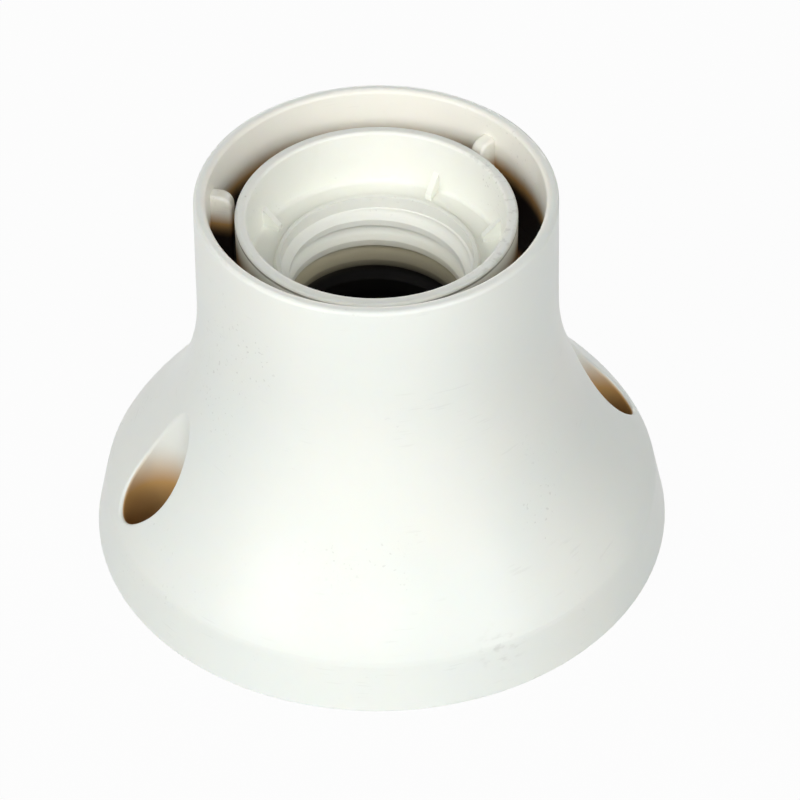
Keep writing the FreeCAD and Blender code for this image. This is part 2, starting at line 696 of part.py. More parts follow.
def main():
    os.makedirs("parts", exist_ok=True)
    save("outer_shell", outer_shell())
    save("thread_sleeve", thread_sleeve())
    save("contact_block", contact_block())
    save("centre_contact_leaf", centre_contact_leaf())
    save("centre_contact_stud", centre_contact_stud())
    save("side_contact_leaf", side_contact_leaf())
    save("shell_screws", shell_screws())
    save("block_screws", block_screws())
    terminals = (("centre", -1, CENTRE_LEAF_THICK), ("side", 1, SIDE_LEAF_THICK))
    for name, side, leaf_thick in terminals:
        save(name + "_terminal_plate", terminal_plate(side))
        save(name + "_rivet", rivet(side, leaf_thick))
        for letter, y in (("a", TERMINAL_Y), ("b", -TERMINAL_Y)):
            save(name + "_clamp_plate_" + letter, clamp_plate(side * TERMINAL_X, y))
            save(name + "_terminal_screw_" + letter, terminal_screw(side * TERMINAL_X, y))


main()
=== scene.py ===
"""Looks of a screw-fixed lamp holder in white moulded plastic.

The CAD nodes keep their shapes and get their finishes here. The springy centre strip, which in
the real holder bends when a lamp presses the contact stud, is modelled here as well and stands
in for the CAD leaf. The studio holds the pale floor, the soft lamps and the camera at the
photograph's viewing angle.
Sizes are in millimetres and angles in radians, unless a docstring says otherwise.
"""

from __future__ import annotations

import json
import logging
import math
from dataclasses import dataclass
from enum import Enum
from typing import Callable, Union

import bpy
from mathutils import Matrix, Vector

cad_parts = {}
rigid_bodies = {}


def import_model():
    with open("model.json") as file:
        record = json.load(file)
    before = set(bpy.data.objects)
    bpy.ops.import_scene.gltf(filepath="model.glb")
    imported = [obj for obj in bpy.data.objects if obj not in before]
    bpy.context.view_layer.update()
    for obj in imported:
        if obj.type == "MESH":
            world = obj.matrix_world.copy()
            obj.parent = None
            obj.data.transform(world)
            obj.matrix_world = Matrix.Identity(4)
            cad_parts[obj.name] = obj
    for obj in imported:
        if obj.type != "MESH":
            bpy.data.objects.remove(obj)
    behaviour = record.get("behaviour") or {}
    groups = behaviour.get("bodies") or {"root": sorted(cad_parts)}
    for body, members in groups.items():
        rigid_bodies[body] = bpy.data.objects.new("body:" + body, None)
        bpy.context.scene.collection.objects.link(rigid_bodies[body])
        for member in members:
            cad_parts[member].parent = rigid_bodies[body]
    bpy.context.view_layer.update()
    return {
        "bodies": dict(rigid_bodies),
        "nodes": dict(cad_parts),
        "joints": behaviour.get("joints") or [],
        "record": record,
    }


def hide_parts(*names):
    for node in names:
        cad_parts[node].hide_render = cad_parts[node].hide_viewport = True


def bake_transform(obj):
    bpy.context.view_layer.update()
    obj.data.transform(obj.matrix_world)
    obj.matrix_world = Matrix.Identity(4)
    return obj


log = logging.getLogger("lamp_holder")

MM = 0.001
Triple = tuple[float, float, float]
Pair = tuple[float, float]
Colour = Triple
Socket = bpy.types.NodeSocket

WHITE: Colour = (1.0, 1.0, 1.0)

# How far a seed moves a random pattern along each axis
SEED_DRIFT: Triple = (1.0, 0.7, 1.3)

# The drill bit for round holes
BIT_SIDES = 48
BIT_LENGTH = 4.0

# Points nearer than this count as one place, and nearer than the second they are merged
TOUCH = 0.01
MERGE = 0.001


class Body(Enum):
    """The bodies of the frame that a new piece can ride on."""

    HOLDER = "holder"
    STUD = "centre_stud"


class Slot(Enum):
    """The record's material slots that a new piece takes its finish from."""

    BRONZE = "bronze"


class Grain(Enum):
    """The direction in which a metal strip was rolled."""

    ALONG_X = (0.06, 1.0, 1.0)
    ALONG_Y = (1.0, 0.06, 1.0)


def paint(red: float, green: float, blue: float) -> Colour:
    """Turns a colour on the display's scale of 0 to 255 into light.

    Args:
        red: Red on the display's scale.
        green: Green on the display's scale.
        blue: Blue on the display's scale.

    Returns:
        The same colour as linear values from 0 to 1.
    """
    shares = (red / 255, green / 255, blue / 255)
    return tuple(s / 12.92 if s <= 0.04045 else ((s + 0.055) / 1.055) ** 2.4 for s in shares)


class Value:
    """A number that varies over a surface, on which arithmetic adds Math nodes."""

    def __init__(self, graph: Nodes, socket: Socket) -> None:
        """Wraps the output socket of a node.

        Args:
            graph: The nodes that the socket's node belongs to.
            socket: The socket that carries the number.
        """
        self.graph = graph
        self.socket = socket

    def __add__(self, other: Operand) -> Value:
        """Sum with a number or a value."""
        return self.graph.maths("ADD", self, other)

    __radd__ = __add__

    def __sub__(self, other: Operand) -> Value:
        """This value less another."""
        return self.graph.maths("SUBTRACT", self, other)

    def __rsub__(self, other: Operand) -> Value:
        """Another number less this value."""
        return self.graph.maths("SUBTRACT", other, self)

    def __mul__(self, other: Operand) -> Value:
        """Product with a number or a value."""
        return self.graph.maths("MULTIPLY", self, other)

    __rmul__ = __mul__

    def __truediv__(self, other: Operand) -> Value:
        """This value divided by another."""
        return self.graph.maths("DIVIDE", self, other)

    def __pow__(self, other: Operand) -> Value:
        """This value raised to a power."""
        return self.graph.maths("POWER", self, other)

    def __abs__(self) -> Value:
        """This value without its sign."""
        return self.graph.maths("ABSOLUTE", self)

    def least(self, other: Operand) -> Value:
        """The smaller of this value and another."""
        return self.graph.maths("MINIMUM", self, other)

    def most(self, other: Operand) -> Value:
        """The larger of this value and another."""
        return self.graph.maths("MAXIMUM", self, other)

    def rise(self, low: float, high: float) -> Value:
        """A mask that goes smoothly from 0 to 1.

        Args:
            low: Where the mask leaves 0.
            high: Where the mask reaches 1.

        Returns:
            The mask.
        """
        settings = {"interpolation_type": "SMOOTHSTEP"}
        inputs = {"Value": self, "From Min": low, "From Max": high}
        made = self.graph.node("ShaderNodeMapRange", settings, inputs)
        return Value(self.graph, made.outputs["Result"])

    def ramp(self, start: Pair, end: Pair) -> Value:
        """A straight line between two points, level before and after them.

        Args:
            start: The first point: a value and what it turns into.
            end: The last point.

        Returns:
            What the value turns into.
        """
        inputs = {
            "Value": self,
            "From Min": start[0],
            "From Max": end[0],
            "To Min": start[1],
            "To Max": end[1],
        }
        made = self.graph.node("ShaderNodeMapRange", None, inputs)
        return Value(self.graph, made.outputs["Result"])

    def fall(self, low: float, high: float) -> Value:
        """A mask that goes smoothly from 1 at low to 0 at high."""
        return 1 - self.rise(low, high)

    def hairline(self, middle: float, width: float) -> Value:
        """A thin line of 1 where the value passes through middle."""
        return abs(self - middle).fall(0.0, width)


Operand = Union[Value, float]
Feed = Union[Value, Socket, float, tuple]


class Nodes:
    """The nodes of one material or of the surroundings."""

    def __init__(self, tree: bpy.types.NodeTree) -> None:
        """Starts from an empty node tree.

        Args:
            tree: The tree, which is cleared.
        """
        self.tree = tree
        self.tree.nodes.clear()

    def node(
        self,
        kind: str,
        settings: dict[str, object] | None = None,
        inputs: dict[Union[str, int], Feed] | None = None,
    ) -> bpy.types.Node:
        """Adds a node.

        Args:
            kind: The node's type.
            settings: Properties of the node, set before its sockets are fed.
            inputs: What each input socket gets: a value, a link or a constant.

        Returns:
            The new node.
        """
        made = self.tree.nodes.new(kind)
        for name, setting in (settings or {}).items():
            setattr(made, name, setting)
        for key, given in (inputs or {}).items():
            self.feed(made.inputs[key], given)
        return made

    def feed(self, socket: Socket, given: Feed) -> None:
        """Links a value or a socket to an input, or sets a constant on it.

        Args:
            socket: The input.
            given: What it gets.
        """
        if isinstance(given, Value):
            self.tree.links.new(given.socket, socket)
        elif isinstance(given, bpy.types.NodeSocket):
            self.tree.links.new(given, socket)
        elif isinstance(given, tuple) and len(given) == 3 and socket.type == "RGBA":
            socket.default_value = (*given, 1.0)
        else:
            socket.default_value = given

    def maths(self, operation: str, *operands: Operand) -> Value:
        """Adds a Math node.

        Args:
            operation: The node's operation.
            operands: Its numbers or values.

        Returns:
            The result.
        """
        made = self.node("ShaderNodeMath", {"operation": operation}, dict(enumerate(operands)))
        return Value(self, made.outputs[0])

    def blended(self, share: Operand, first: Socket, second: Socket) -> Socket:
        """Shader that goes from first to second with a share from 0 to 1."""
        return self.node("ShaderNodeMixShader", None, {0: share, 1: first, 2: second}).outputs[0]


class Graph(Nodes):
    """The nodes of one material, which know each point's place in millimetres."""

    def __init__(self, name: str) -> None:
        """Makes an empty material with its shader and its coordinates.

        Args:
            name: The material's name.
        """
        self.material = bpy.data.materials.new(name)
        self.material.use_nodes = True
        super().__init__(self.material.node_tree)
        self.shader = self.node("ShaderNodeBsdfPrincipled")
        shown = {"Surface": self.shader.outputs[0]}
        self.output = self.node("ShaderNodeOutputMaterial", None, shown)
        metres = self.node("ShaderNodeTexCoord").outputs["Object"]
        inputs = {0: metres, "Scale": 1 / MM}
        scaled = self.node("ShaderNodeVectorMath", {"operation": "SCALE"}, inputs)
        self.place = scaled.outputs["Vector"]
        axes = self.node("ShaderNodeSeparateXYZ", None, {0: self.place})
        self.x, self.y, self.z = (Value(self, axes.outputs[i]) for i in range(3))

    def around(self, x: float = 0.0, y: float = 0.0) -> Value:
        """Distance from an upright axis.

        Args:
            x: The axis's place across, in millimetres.
            y: The axis's place along, in millimetres.

        Returns:
            The distance in millimetres.
        """
        across = self.x - x
        along = self.y - y
        return (across * across + along * along) ** 0.5

    def cloud(
        self,
        size: float,
        detail: float = 2.0,
        stretch: Triple = (1.0, 1.0, 1.0),
        seed: float = 0.0,
    ) -> Value:
        """Soft random pattern.

        Args:
            size: Rough size of its patches in millimetres.
            detail: Number of finer layers.
            stretch: Factor on each axis; a small one draws the patches out along it.
            seed: Moves the pattern, so that two of them differ.

        Returns:
            The pattern, from about 0.2 to 0.8 with 0.5 in the middle.
        """
        inputs = {
            "Vector": self.place,
            "Location": tuple(seed * drift for drift in SEED_DRIFT),
            "Scale": tuple(s / size for s in stretch),
        }
        moved = self.node("ShaderNodeMapping", {"vector_type": "POINT"}, inputs)
        inputs = {"Vector": moved.outputs[0], "Scale": 1.0, "Detail": detail}
        noise = self.node("ShaderNodeTexNoise", {"noise_dimensions": "3D"}, inputs)
        return Value(self, noise.outputs[0])

    def mixed(self, share: Operand, first: Feed, second: Feed) -> Socket:
        """Colour that goes from first to second.

        Args:
            share: How much of the second shows, from 0 to 1.
            first: The colour at 0.
            second: The colour at 1.

        Returns:
            The colour.
        """
        settings = {"data_type": "RGBA", "clamp_factor": True}
        made = self.node("ShaderNodeMix", settings, {0: share, 6: first, 7: second})
        return made.outputs[2]

    def relief(self, height: Value, depth: float, over: Socket | None = None) -> Socket:
        """Surface normal that a height pattern bends.

        Args:
            height: The pattern, from 0 to 1.
            depth: Its height in millimetres.
            over: Another relief that lies under this one.

        Returns:
            The normal.
        """
        inputs = {"Strength": 1.0, "Distance": depth * MM, "Height": height}
        if over is not None:
            inputs["Normal"] = over
        return self.node("ShaderNodeBump", None, inputs).outputs[0]

    def surface(self, **inputs: Feed) -> bpy.types.Material:
        """Feeds the shader's own sockets, with spaces in their names as underscores.

        Args:
            inputs: What each socket gets.

        Returns:
            The finished material.
        """
        for name, given in inputs.items():
            self.feed(self.shader.inputs[name.replace("_", " ")], given)
        return self.material


@dataclass(frozen=True)
class MouldedPlastic:
    """White moulded plastic with a polished skin, faint clouds, specks and scuffs.

    The recesses get painted shade, from tan to dark with depth. Each part says where its
    recesses and its worn edges are. A share is how much of the mark colour a mark shows, and a
    matt is what it adds to the roughness.
    """

    name: str
    fresh: Colour
    aged: Colour
    # Colours of the painted shade in the recesses, from the shallowest (tan) to the deepest
    tan: Colour
    painted_shade_brown: Colour
    painted_shade_dark: Colour
    # Colour of specks, scuffs and rubs, which also paints shade on the sleeve's rim line and cup
    # floor
    grime_and_painted_shade: Colour = paint(96, 90, 74)
    polish: float = 0.26
    speck_share: float = 0.16
    scuff_share: float = 0.045
    rub_share: float = 0.14
    smudge_matt: float = 0.16
    scuff_matt: float = 0.2
    rub_matt: float = 0.25
    hollow_matt: float = 0.35
    skin_depth: float = 0.006
    sink_depth: float = 0.16
    mark_depth: float = 0.008

    def painted_shade_depth(self, graph: Graph) -> Value:
        """Depth of the recesses for painted shade: 0 outside, tan in the middle and 1 where the
        painted shade is darkest.
        """
        raise NotImplementedError

    def deep_painted_shade(self, graph: Graph) -> Value:
        """Mask of the recesses whose painted shade is brown where the others are tan."""
        raise NotImplementedError

    def sheltered(self, graph: Graph) -> Value:
        """Mask of the inner surfaces, which take the creamier colour."""
        raise NotImplementedError

    def worn_edges(self, graph: Graph) -> Value:
        """Mask of the edges that other things rub against."""
        raise NotImplementedError

    def dust_and_painted_shade(self, graph: Graph) -> Value:
        """Mask of knocks where dust has settled, and of lines and floors with painted shade."""
        raise NotImplementedError

    def marks(self, graph: Graph) -> tuple[Value, Value]:
        """Specks and hairline scuffs in loose groups.

        Args:
            graph: The material's graph.

        Returns:
            The mask of the specks and the mask of the scuffs.
        """
        groups = graph.cloud(15.0, 2.0, seed=3.1).rise(0.52, 0.72)
        specks = graph.cloud(0.5, 0.0, seed=7.7).rise(0.74, 0.8) * groups
        upright = graph.cloud(0.3, 0.0, (1.0, 1.0, 0.05), seed=11.0).rise(0.7, 0.76)
        level = graph.cloud(0.3, 0.0, (0.07, 0.07, 1.0), seed=19.0).rise(0.72, 0.78)
        sparse = graph.cloud(7.0, 1.0, seed=23.0).rise(0.56, 0.66)
        return specks, (upright * groups).most(level) * sparse

    def tone(self, graph: Graph, broad: Value, painted_shade_depth: Value, dirt_and_painted_shade: Value) -> Socket:
        """Colour of the plastic with its clouds, the painted shade in its recesses, and its
        dirt, which on the sleeve also carries painted shade.

        Args:
            graph: The material's graph.
            broad: The pattern of the broad clouds.
            painted_shade_depth: Depth of the recesses, which sets their painted shade.
            dirt_and_painted_shade: Share of the mark colour that shows, for specks, scuffs, rubs
                and painted shade.

        Returns:
            The colour.
        """
        fine = graph.cloud(2.4, 4.0, seed=5.0)
        creamed = (broad.rise(0.3, 0.72) * 0.4 + fine * 0.1).most(self.sheltered(graph))
        clean = graph.mixed(creamed, self.fresh, self.aged)
        # Painted shade: tan, then brown, then dark deeper in the recesses
        painted_shade_colour = graph.mixed(self.deep_painted_shade(graph), self.tan, self.painted_shade_brown)
        tone_with_painted_shade = graph.mixed((painted_shade_depth * 2).least(1.0), clean, painted_shade_colour)
        tone_with_deep_painted_shade = graph.mixed((painted_shade_depth * 2 - 1).most(0.0), tone_with_painted_shade, self.painted_shade_dark)
        return graph.mixed(dirt_and_painted_shade, tone_with_deep_painted_shade, self.grime_and_painted_shade)

    def make(self) -> bpy.types.Material:
        """Builds the material.

        Under a roughness of about 0.275 the renderer's cleaning of noise leaves blotches
        with hard edges, so the polish and the smudges together stay above it.

        Returns:
            The material.
        """
        graph = Graph(self.name)
        broad = graph.cloud(26.0, 3.0, seed=1.0)
        painted_shade_depth = self.painted_shade_depth(graph)
        specks, scuffs = self.marks(graph)
        rubbed = graph.cloud(0.9, 3.0, seed=31.0).rise(0.53, 0.66) * self.worn_edges(graph)
        # The mark colour carries real dirt and wear, and on the sleeve painted shade as well
        dirt_and_painted_shade = (specks * self.speck_share).most(scuffs * self.scuff_share)
        dirt_and_painted_shade = dirt_and_painted_shade.most(rubbed * self.rub_share).most(self.dust_and_painted_shade(graph))

        smudges = graph.cloud(9.0, 4.0, (1.0, 1.0, 0.5), seed=13.0)
        roughness = smudges * self.smudge_matt + scuffs * self.scuff_matt
        roughness = roughness + rubbed * self.rub_matt + painted_shade_depth * self.hollow_matt + self.polish
        skin = graph.relief(graph.cloud(1.7, 2.0, seed=2.0), self.skin_depth)
        sinks = graph.relief(broad, self.sink_depth, skin)
        return graph.surface(
            Base_Color=self.tone(graph, broad, painted_shade_depth, dirt_and_painted_shade),
            Roughness=roughness,
            Normal=graph.relief(scuffs * 0.4 + rubbed + specks, -self.mark_depth, sinks),
            IOR=1.48,
            Specular_IOR_Level=0.3,
            Subsurface_Weight=0.12,
            Subsurface_Radius=(1.0, 0.72, 0.42),
            Subsurface_Scale=1.6 * MM,
        )


@dataclass(frozen=True)
class ShellPlastic(MouldedPlastic):
    """Plastic of the bell shell, with painted shade from tan to dark down inside the neck and in
    the screw wells.

    A pair is where a mask starts and where it ends.
    """

    neck_inside: float = 23.3
    rim_height: float = 58.7
    well_offset: float = 33.2
    well_radius: float = 5.05
    knock: Triple = (5.3, -40.3, 7.2)
    knock_reach: Pair = (0.5, 5.0)
    # Depths and heights of the painted shade inside the neck and in the wells
    knock_share: float = 0.18
    painted_shade_depths: Pair = (5.6, 10.5)
    deep_painted_shade_depths: Pair = (8.0, 14.0)
    open_heights: Pair = (27.0, 39.0)
    well_floor: Pair = (2.6, 2.9)
    well_painted_shade_heights: Pair = (6.0, 18.0)
    well_share: float = 0.66

    def painted_shade_depth(self, graph: Graph) -> Value:
        """Depth of the painted shade down the neck's inside and the wells' lower walls.

        Args:
            graph: The material's graph.

        Returns:
            The depth, from 0 to 1, which fades out again towards the open base.
        """
        depth = self.rim_height - graph.z
        neck = graph.around().fall(self.neck_inside + 0.1, self.neck_inside + 0.5)
        neck = neck * depth.rise(*self.painted_shade_depths) * graph.z.rise(*self.open_heights)
        across = abs(graph.x) - self.well_offset
        from_well = (across * across + graph.y * graph.y) ** 0.5
        well = from_well.fall(self.well_radius + 0.02, self.well_radius + 0.3)
        well = well * graph.z.rise(*self.well_floor) * graph.z.fall(*self.well_painted_shade_heights)
        return neck.most(well * self.well_share)

    def deep_painted_shade(self, graph: Graph) -> Value:
        """Mask of the neck's deeper inside, where the painted shade is brown."""
        return (self.rim_height - graph.z).rise(*self.deep_painted_shade_depths) * self.sheltered(graph)

    def sheltered(self, graph: Graph) -> Value:
        """Mask of the neck's inside."""
        return graph.around().fall(self.neck_inside + 0.1, self.neck_inside + 1.2)

    def worn_edges(self, graph: Graph) -> Value:
        """Mask of the neck's rim, which is hardly worn, and of the foot.

        Args:
            graph: The material's graph.

        Returns:
            The mask.
        """
        rim = (self.rim_height - graph.z).fall(0.1, 0.5) * 0.1
        foot = graph.z.fall(0.1, 0.6) * 0.5
        return rim.most(foot)

    def dust_and_painted_shade(self, graph: Graph) -> Value:
        """Mask of a few knocks in the crease over the foot.

        Args:
            graph: The material's graph.

        Returns:
            The mask.
        """
        x, y, z = self.knock
        away = ((graph.x - x) ** 2 + (graph.y - y) ** 2 + (graph.z - z) ** 2) ** 0.5
        chips = graph.cloud(1.1, 4.0, (0.7, 0.7, 1.4), seed=37.0).rise(0.5, 0.74)
        return away.fall(*self.knock_reach) * chips * self.knock_share


@dataclass(frozen=True)
class SleevePlastic(MouldedPlastic):
    """Plastic of the threaded sleeve, scuffed on the cup's rim where lamps touch it, with
    painted shade down its bore, on its outside and on the cup's floor.

    A pair is where a mask starts and where it ends, but for the rubbed side, which is
    the direction that side faces.
    """

    rim_height: float = 55.5
    cup_floor: float = 46.7
    lip_radius: float = 14.1
    cup_outside: Pair = (19.2, 19.4)
    # Heights of the painted shade down the bore and on the outside
    bore_heights: Pair = (34.2, 42.3)
    outside_heights: Pair = (46.0, 55.2)
    open_heights: Pair = (27.0, 39.0)
    # Where the cup's floor gets its painted shade
    floor_inner: Pair = (14.6, 15.2)
    floor_outer: Pair = (18.6, 19.0)
    floor_painted_shade_share: float = 0.05
    rubbed_side: Pair = (0.968, -0.25)

    def painted_shade_depth(self, graph: Graph) -> Value:
        """Depth of the painted shade down the thread and chamber, and down the sleeve's outside.

        Args:
            graph: The material's graph.

        Returns:
            The depth, from 0 to 1.
        """
        radius = graph.around()
        bore = radius.fall(self.lip_radius, self.lip_radius + 0.4)
        bore = bore * graph.z.fall(*self.bore_heights)
        outside = radius.rise(*self.cup_outside) * graph.z.fall(*self.outside_heights)
        return bore.most(outside * graph.z.rise(*self.open_heights))

    def deep_painted_shade(self, graph: Graph) -> Value:
        """Mask of the sleeve's outside, where the painted shade is brown."""
        return graph.around().rise(*self.cup_outside)

    def sheltered(self, graph: Graph) -> Value:
        """Mask of the cup's inside."""
        return graph.around().fall(self.lip_radius + 4.0, self.lip_radius + 5.0)

    def worn_edges(self, graph: Graph) -> Value:
        """Mask of the cup's rim, which lamps have rubbed on one side.

        Args:
            graph: The material's graph.

        Returns:
            The mask.
        """
        rim = (self.rim_height - graph.z).fall(0.2, 0.55)
        x, y = self.rubbed_side
        worn = (graph.x * x + graph.y * y).rise(9.0, 17.0)
        return rim * (worn * 0.9 + 0.12)

    def dust_and_painted_shade(self, graph: Graph) -> Value:
        """Mask of a painted shadow line under the rim's outer edge, and of painted shade on the
        cup's floor.

        Args:
            graph: The material's graph.

        Returns:
            The mask.
        """
        radius = graph.around()
        below = self.rim_height - graph.z
        # A painted shadow line just under the rim's outer edge
        line = below.rise(0.45, 0.6) * below.fall(0.75, 1.0) * radius.rise(*self.cup_outside)
        patchy = graph.cloud(6.0, 2.0, seed=41.0).rise(0.3, 0.6)
        # Painted shade on the cup's floor, which leaves it darker than the wall
        floor = radius.rise(*self.floor_inner) * radius.fall(*self.floor_outer)
        floor = floor * (graph.z - self.cup_floor).fall(0.35, 0.75)
        return (line * (patchy * 0.4 + 0.35)).most(floor * self.floor_painted_shade_share)


@dataclass(frozen=True)
class MouldingCompound:
    """Dark filled moulding compound with fine flecks and flow swirls."""

    name: str = "dark_compound"
    ground: Colour = paint(46, 28, 22)
    swirl: Colour = paint(66, 42, 31)
    fleck: Colour = paint(112, 82, 60)
    polish: float = 0.3
    grain_depth: float = 0.012
    flow_depth: float = 0.05

    def make(self) -> bpy.types.Material:
        """Builds the material.

        Returns:
            The material.
        """
        graph = Graph(self.name)
        flow = graph.cloud(7.0, 5.0, (1.0, 1.0, 0.6), seed=2.0)
        flecks = graph.cloud(0.34, 1.0, seed=9.0).rise(0.64, 0.74)
        dust = graph.cloud(3.0, 4.0, seed=15.0).rise(0.52, 0.8)
        tone = graph.mixed(flow.rise(0.35, 0.65), self.ground, self.swirl)
        tone = graph.mixed(flecks * 0.45, tone, self.fleck)
        grain = graph.relief(graph.cloud(0.5, 3.0, seed=21.0), self.grain_depth)
        return graph.surface(
            Base_Color=tone,
            Roughness=self.polish + dust * 0.25 + flecks * 0.1,
            Normal=graph.relief(flow, self.flow_depth, grain),
        )


@dataclass(frozen=True)
class RolledMetal:
    """Sheet metal with a rolled grain, tarnished in patches and bright in between.

    The patch is the size of those patches.
    """

    name: str
    bright: Colour
    tarnish: Colour
    grain: Grain
    patch: float = 3.0
    polish: float = 0.275
    grain_depth: float = 0.0025
    scratch_depth: float = 0.004

    def make(self) -> bpy.types.Material:
        """Builds the material.

        Returns:
            The material.
        """
        graph = Graph(self.name)
        lines = graph.cloud(0.12, 3.0, self.grain.value, seed=4.0)
        scratches = graph.cloud(0.7, 2.0, self.grain.value, seed=8.0).hairline(0.5, 0.02)
        patches = graph.cloud(self.patch, 5.0, seed=12.0).rise(0.4, 0.68)
        spots = graph.cloud(0.5, 2.0, seed=16.0).rise(0.66, 0.76)
        tone = graph.mixed((patches * 0.6 + spots * 0.5).least(1.0), self.bright, self.tarnish)
        tone = graph.mixed(lines.rise(0.3, 0.7) * 0.12, tone, self.tarnish)
        rolled = graph.relief(lines, self.grain_depth)
        return graph.surface(
            Base_Color=tone,
            Roughness=self.polish + patches * 0.2 + spots * 0.2 + lines * 0.08,
            Metallic=1.0,
            Normal=graph.relief(scratches, -self.scratch_depth, rolled),
        )


@dataclass(frozen=True)
class ScrewFinish:
    """Plated screw or rivet with turning rings on its faces and a thread on its shank.

    The axes are the places of the turned pieces that share the finish, and the seat is
    the height that the thread starts from.
    """

    name: str
    axes: tuple[Pair, ...]
    bright: Colour = paint(188, 190, 190)
    tint: Colour = paint(176, 164, 130)
    dull: Colour = paint(118, 120, 122)
    shank_radius: float = 1.45
    seat: float = 12.0
    pitch: float = 0.5
    threaded: bool = True
    polish: float = 0.26
    ring_pitch: float = 0.16
    ring_depth: float = 0.0015
    pit_depth: float = 0.01
    thread_depth: float = 0.22

    def thread(self, graph: Graph) -> Value:
        """Height of the helical thread on the shank.

        Args:
            graph: The material's graph.

        Returns:
            The height, from 0 to 1, and 0 away from the shank.
        """
        height: Value | None = None
        for x, y in self.axes:
            turn = graph.maths("ARCTAN2", graph.y - y, graph.x - x) / math.tau
            wave = graph.maths("PINGPONG", graph.z / self.pitch - turn, 0.5) * 2
            near = graph.around(x, y)
            flank = near.fall(self.shank_radius + 0.05, self.shank_radius + 0.15)
            flank = flank * near.rise(self.shank_radius * 0.75, self.shank_radius * 0.85)
            ridge = wave * flank * graph.z.rise(self.seat + 0.1, self.seat + 0.3)
            height = ridge if height is None else height.most(ridge)
        return height

    def make(self) -> bpy.types.Material:
        """Builds the material.

        Returns:
            The material.
        """
        graph = Graph(self.name)
        near = graph.around(*self.axes[0])
        for x, y in self.axes[1:]:
            near = near.least(graph.around(x, y))
        rings = graph.maths("SINE", near * (math.tau / self.ring_pitch)) * 0.5 + 0.5
        clouds = graph.cloud(1.6, 4.0, seed=6.0)
        pits = graph.cloud(0.3, 2.0, seed=14.0).rise(0.66, 0.76)
        tone = graph.mixed(clouds.rise(0.4, 0.62), self.bright, self.tint)
        tone = graph.mixed(pits * 0.6 + clouds.rise(0.58, 0.75) * 0.3, tone, self.dull)
        normal = graph.relief(rings, self.ring_depth)
        normal = graph.relief(pits, -self.pit_depth, normal)
        if self.threaded:
            normal = graph.relief(self.thread(graph), self.thread_depth, normal)
        return graph.surface(
            Base_Color=tone,
            Roughness=self.polish + clouds * 0.14 + pits * 0.25,
            Metallic=1.0,
            Normal=normal,
        )


class Bench:
    """Hand tools for modelling: selecting, editing, cutting and finishing a mesh."""

    @staticmethod
    def clear() -> None:
        """Deselects everything, so that an operator touches only what is picked next."""
        bpy.ops.object.select_all(action="DESELECT")

    @staticmethod
    def hold(piece: bpy.types.Object) -> None:
        """Makes a piece the only selected and active one.

        Args:
            piece: The piece.
        """
        Bench.clear()
        piece.select_set(True)
        bpy.context.view_layer.objects.active = piece

    @staticmethod
    def pick_edges(piece: bpy.types.Object, wanted: Callable[[Vector, Vector], bool]) -> None:
        """Goes into edit mode with the wanted edges selected.

        Args:
            piece: The piece, at the origin.
            wanted: Says of an edge's two ends whether the edge is picked.
        """
        mesh = piece.data
        bpy.context.tool_settings.mesh_select_mode = (False, True, False)
        for part in (*mesh.vertices, *mesh.edges, *mesh.polygons):
            part.select = False
        for edge in mesh.edges:
            first, second = (mesh.vertices[i] for i in edge.vertices)
            if wanted(first.co, second.co):
                edge.select = first.select = second.select = True
        bpy.ops.object.mode_set(mode="EDIT")

    @staticmethod
    def finish_with(piece: bpy.types.Object, kind: str, **settings: object) -> None:
        """Adds a modifier and applies it.

        Args:
            piece: The piece.
            kind: The modifier's type.
            settings: The modifier's properties.
        """
        Bench.hold(piece)
        modifier = piece.modifiers.new(kind.lower(), kind)
        for name, setting in settings.items():
            setattr(modifier, name, setting)
        bpy.ops.object.modifier_apply(modifier=modifier.name)

    @staticmethod
    def drill(piece: bpy.types.Object, radius: float, x: float, z: float) -> None:
        """Drills an upright round hole.

        Args:
            piece: The piece to drill.
            radius: The hole's radius in millimetres.
            x: The hole's place across, in millimetres.
            z: A height inside the sheet, in millimetres.
        """
        Bench.clear()
        place = (x * MM, 0, z * MM)
        bpy.ops.mesh.primitive_cylinder_add(
            vertices=BIT_SIDES, radius=radius * MM, depth=BIT_LENGTH * MM, location=place
        )
        bit = bpy.context.active_object
        Bench.finish_with(piece, "BOOLEAN", object=bit, operation="DIFFERENCE", solver="EXACT")
        bpy.data.objects.remove(bit)


def dress(frame: dict, material: bpy.types.Material, *names: str) -> None:
    """Gives CAD nodes their finish.

    Args:
        frame: The loaded frame.
        material: The finish.
        names: The nodes that get it.
    """
    for name in names:
        node = frame["nodes"][name]
        if not node.material_slots:
            node.data.materials.append(material)
        for place in node.material_slots:
            place.material = material
        log.info("%s: dressed in %s", name, material.name)


@dataclass
class BellShell:
    """The outer moulding with its neck, flare, wells and foot."""

    height: float = 58.7
    neck_inside: float = 23.3
    well_offset: float = 33.2
    well_radius: float = 5.05

    def build(self, frame: dict) -> None:
        """Dresses the shell.

        Args:
            frame: The loaded frame.
        """
        plastic = ShellPlastic(
            name="ivory_shell",
            fresh=paint(238, 243, 238),
            aged=paint(250, 248, 238),
            # Painted shade colours for the neck's inside and the wells
            tan=paint(206, 166, 108),
            painted_shade_brown=paint(184, 120, 50),
            painted_shade_dark=paint(28, 13, 6),
            neck_inside=self.neck_inside,
            rim_height=self.height,
            well_offset=self.well_offset,
            well_radius=self.well_radius,
        )
        dress(frame, plastic.make(), "outer_shell")


